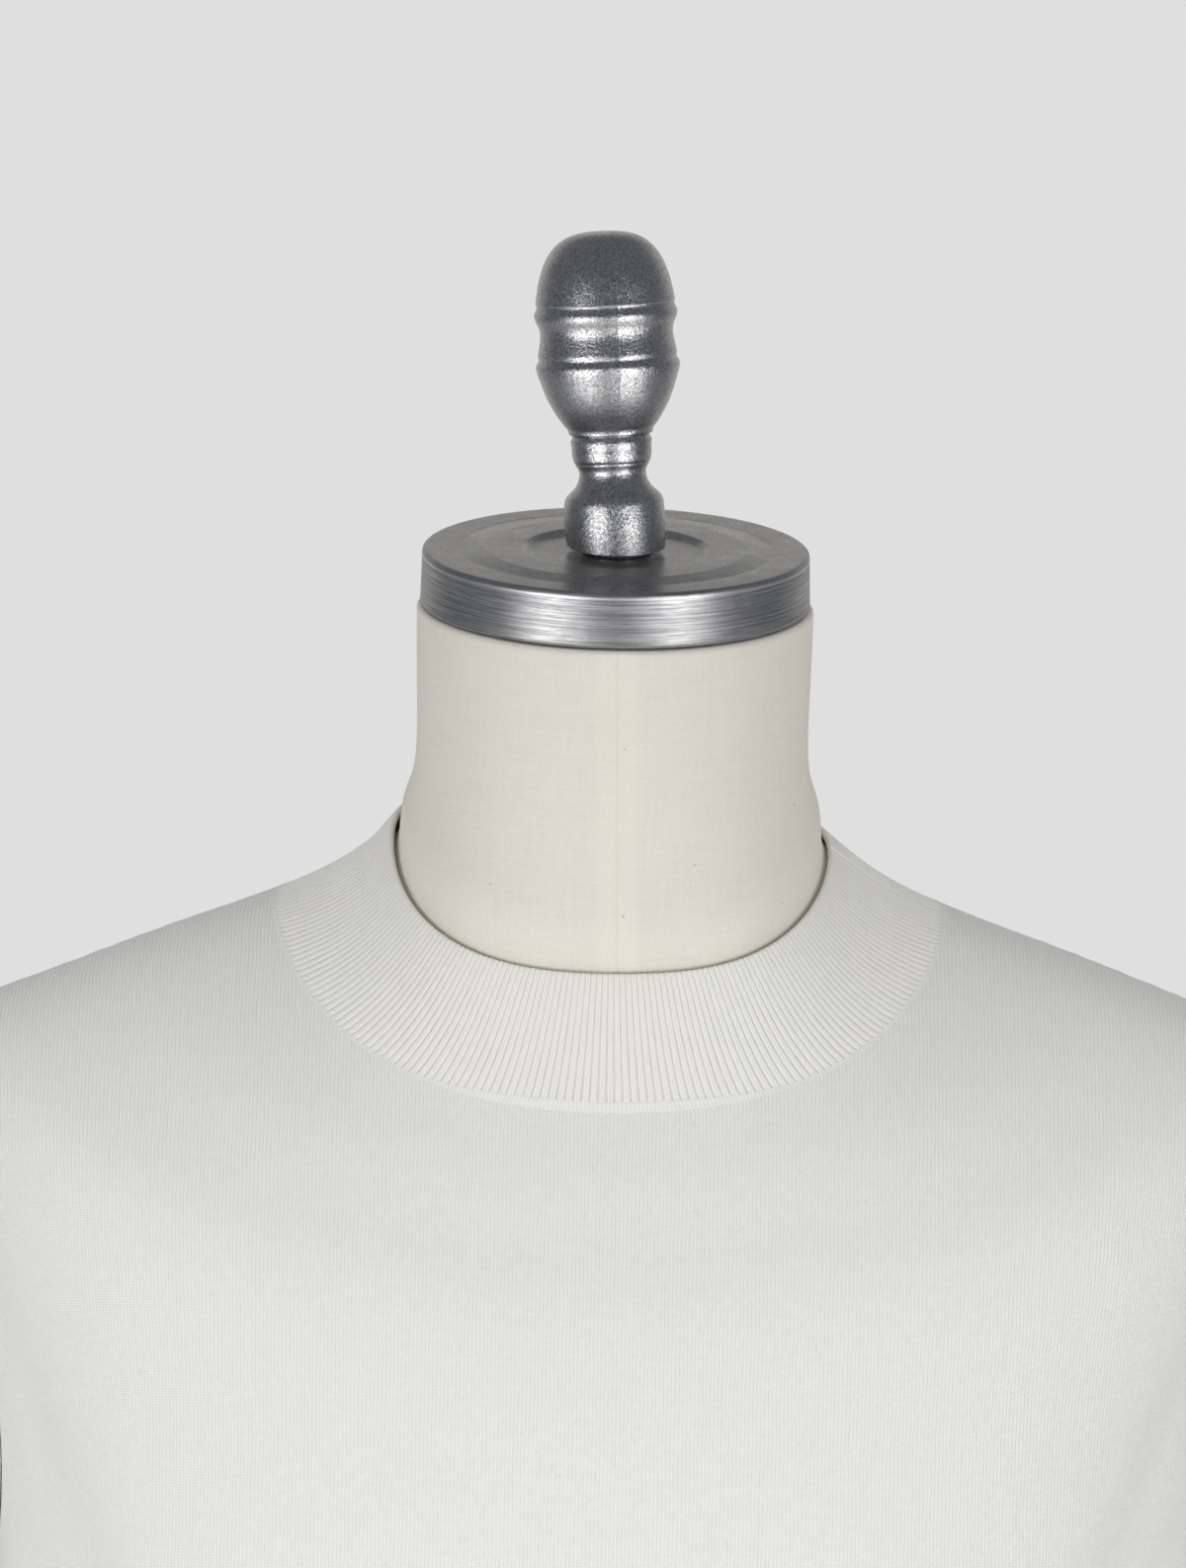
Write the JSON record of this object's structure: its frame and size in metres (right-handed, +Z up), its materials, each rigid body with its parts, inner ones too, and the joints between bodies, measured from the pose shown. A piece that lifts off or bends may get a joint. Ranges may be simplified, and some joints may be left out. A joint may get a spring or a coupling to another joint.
{
  "type": "knit t-shirt on a dress form",
  "caption": "Fine-gauge knit t-shirt with a wide ribbed crew collar and short sleeves, worn by a limbless dress form with a metal neck cap, a turned finial and a round base.",
  "frame": {"origin": "centre of the base's underside", "axes": "+Z up, -Y the front of the shirt, +X the wearer's left"},
  "size_m": [0.588, 0.31, 1.0429],
  "materials": {
    "ivory_knit": "fine plain knit, matte with a soft nap",
    "ivory_rib": "ribbed knit, matte",
    "canvas": "plain-woven canvas with small dark flecks",
    "pewter": "cast pewter, pitted on the finial and brushed on the cap's side",
    "painted_steel": "dark grey, satin"
  },
  "bodies": {
    "root": {"front": "ivory_knit", "back": "ivory_knit", "sleeve_left": "ivory_knit", "sleeve_right": "ivory_knit", "collar": "ivory_rib", "form_torso": "canvas", "neck_cap": "pewter", "finial": "pewter", "stand_base": "painted_steel", "stand_pole": "painted_steel"}
  },
  "joints": []
}
